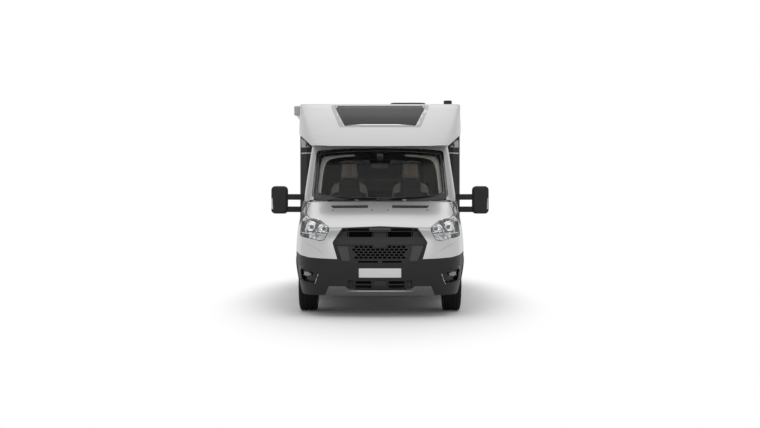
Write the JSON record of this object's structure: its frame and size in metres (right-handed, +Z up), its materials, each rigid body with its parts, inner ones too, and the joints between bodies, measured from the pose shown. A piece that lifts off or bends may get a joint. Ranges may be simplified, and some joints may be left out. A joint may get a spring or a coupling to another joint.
{
  "type": "low-profile motorhome",
  "caption": "Low-profile motorhome: van cab with over-cab cap and skylight, white living body with entry and garage doors, ladder frame, steered front wheels and opening doors and hatches.",
  "frame": {"origin": "on the ground under the middle of the vehicle's overall length and width", "axes": "+Z up, +Y towards the vehicle's rear, +X towards its left side; it drives towards -Y"},
  "size_m": [2.938, 6.9903, 2.9065],
  "materials": {
    "silver_paint": "metallic satin",
    "bumper_plastic": "grained",
    "silver_trim": "satin silver",
    "grille_plastic": "black",
    "lamp_lens": "clear",
    "lamp_bright": "metallised",
    "glass": "tinted",
    "house_white": "gelcoat",
    "house_dark": "satin",
    "house_acrylic": "smoked acrylic",
    "skirt_grey": "satin",
    "lamp_red": "clear",
    "awning_grey": "anodised",
    "fitting_plastic": "satin",
    "frame_steel": "black",
    "cast": "cast",
    "cooler": "matt",
    "exhaust_steel": "dull",
    "liner": "matt",
    "tyre": "matt",
    "rim": "silver",
    "floor_board": "laminate",
    "dash_plastic": "grained",
    "seat_fabric": "woven"
  },
  "bodies": {
    "vehicle": {"front_wings": "silver_paint", "cab_shell": "silver_paint", "front_bumper": "bumper_plastic", "bumper_trim": "silver_trim", "grille": "grille_plastic", "front_lamps": "lamp_lens", "lamp_housings": "lamp_bright", "windscreen": "glass", "overcab_window": "glass", "overcab_cap": "house_white", "wall_left": "house_white", "wall_right": "house_white", "wall_rear": "house_white", "house_roof": "house_white", "body_shoulders": "house_dark", "house_windows": "house_acrylic", "house_skirts": "skirt_grey", "rear_bumper": "skirt_grey", "tail_lamps": "lamp_red", "awning": "awning_grey", "roof_fittings": "fitting_plastic", "chassis_frame": "frame_steel", "cross_members": "frame_steel", "front_suspension": "frame_steel", "rear_axle": "frame_steel", "cab_floor": "frame_steel", "engine_block": "cast", "radiator": "cooler", "exhaust": "exhaust_steel", "wheel_arch_liners": "liner", "underfloor_tanks": "liner", "house_floor": "floor_board", "bed_platform": "floor_board", "dashboard": "dash_plastic", "seat_frames": "dash_plastic", "seat_cushions": "seat_fabric"},
    "bonnet": {"bonnet": "silver_paint"},
    "cab_door_left": {"cab_door_left": "silver_paint", "cab_door_glass_left": "glass", "mirror_left": "bumper_plastic"},
    "cab_door_right": {"cab_door_right": "silver_paint", "cab_door_glass_right": "glass", "mirror_right": "bumper_plastic"},
    "entry_door": {"entry_door": "house_white", "entry_door_pane": "house_acrylic"},
    "garage_door_left": {"garage_door_left": "house_white"},
    "garage_door_right": {"garage_door_right": "house_white"},
    "hatch_lid_front": {"hatch_lid_front": "house_acrylic"},
    "hatch_lid_rear": {"hatch_lid_rear": "house_acrylic"},
    "steering_wheel": {"steering_wheel": "dash_plastic"},
    "knuckle_left": {"knuckle_left": "cast"},
    "knuckle_right": {"knuckle_right": "cast"},
    "wheel_front_left": {"tyre_front_left": "tyre", "rim_front_left": "rim"},
    "wheel_front_right": {"tyre_front_right": "tyre", "rim_front_right": "rim"},
    "wheel_rear_left": {"tyre_rear_left": "tyre", "rim_rear_left": "rim"},
    "wheel_rear_right": {"tyre_rear_right": "tyre", "rim_rear_right": "rim"}
  },
  "joints": [
    {"name": "bonnet_hinge", "type": "hinge", "parent": "vehicle", "child": "bonnet", "pos_m": [0, -2.459, 1.4], "axis": [-1, 0, 0], "range_deg": [0, 48]},
    {"name": "cab_door_left_hinge", "type": "hinge", "parent": "vehicle", "child": "cab_door_left", "pos_m": [1.042, -2.029, 1.3], "axis": [0, 0, -1], "range_deg": [0, 65]},
    {"name": "cab_door_right_hinge", "type": "hinge", "parent": "vehicle", "child": "cab_door_right", "pos_m": [-1.042, -2.029, 1.3], "axis": [0, 0, 1], "range_deg": [0, 65]},
    {"name": "entry_door_hinge", "type": "hinge", "parent": "vehicle", "child": "entry_door", "pos_m": [-1.16, -0.375, 1.5], "axis": [0, 0, 1], "range_deg": [0, 110]},
    {"name": "garage_door_left_hinge", "type": "hinge", "parent": "vehicle", "child": "garage_door_left", "pos_m": [1.16, 2.065, 1.07], "axis": [0, 0, -1], "range_deg": [0, 110]},
    {"name": "garage_door_right_hinge", "type": "hinge", "parent": "vehicle", "child": "garage_door_right", "pos_m": [-1.16, 2.065, 1.07], "axis": [0, 0, 1], "range_deg": [0, 110]},
    {"name": "hatch_front_hinge", "type": "hinge", "parent": "vehicle", "child": "hatch_lid_front", "pos_m": [0.41, -0.5056, 2.8543], "axis": [-1, 0, 0], "range_deg": [0, 50]},
    {"name": "hatch_rear_hinge", "type": "hinge", "parent": "vehicle", "child": "hatch_lid_rear", "pos_m": [0, 3.0844, 2.8543], "axis": [-1, 0, 0], "range_deg": [0, 50]},
    {"name": "steering_left", "type": "hinge", "parent": "vehicle", "child": "knuckle_left", "pos_m": [0.862, -2.495, 0.356], "axis": [0, 0, 1], "range_deg": [-34, 34]},
    {"name": "steering_right", "type": "hinge", "parent": "vehicle", "child": "knuckle_right", "pos_m": [-0.862, -2.495, 0.356], "axis": [0, 0, 1], "range_deg": [-34, 34]},
    {"name": "steering_wheel_turn", "type": "hinge", "parent": "vehicle", "child": "steering_wheel", "pos_m": [0.44, -1.735, 1.18], "axis": [0, 0.766, 0.6428], "range_deg": [-512, 512]},
    {"name": "wheel_front_left_spin", "type": "hinge", "parent": "knuckle_left", "child": "wheel_front_left", "pos_m": [0.925, -2.495, 0.356], "axis": [1, 0, 0], "continuous": true},
    {"name": "wheel_front_right_spin", "type": "hinge", "parent": "knuckle_right", "child": "wheel_front_right", "pos_m": [-0.925, -2.495, 0.356], "axis": [1, 0, 0], "continuous": true},
    {"name": "wheel_rear_left_spin", "type": "hinge", "parent": "vehicle", "child": "wheel_rear_left", "pos_m": [0.98, 1.255, 0.356], "axis": [1, 0, 0], "continuous": true},
    {"name": "wheel_rear_right_spin", "type": "hinge", "parent": "vehicle", "child": "wheel_rear_right", "pos_m": [-0.98, 1.255, 0.356], "axis": [1, 0, 0], "continuous": true}
  ],
  "couplings": [
    {"joint": "steering_right", "follows": "steering_left", "ratio": 1},
    {"joint": "steering_wheel_turn", "follows": "steering_left", "ratio": 15}
  ]
}
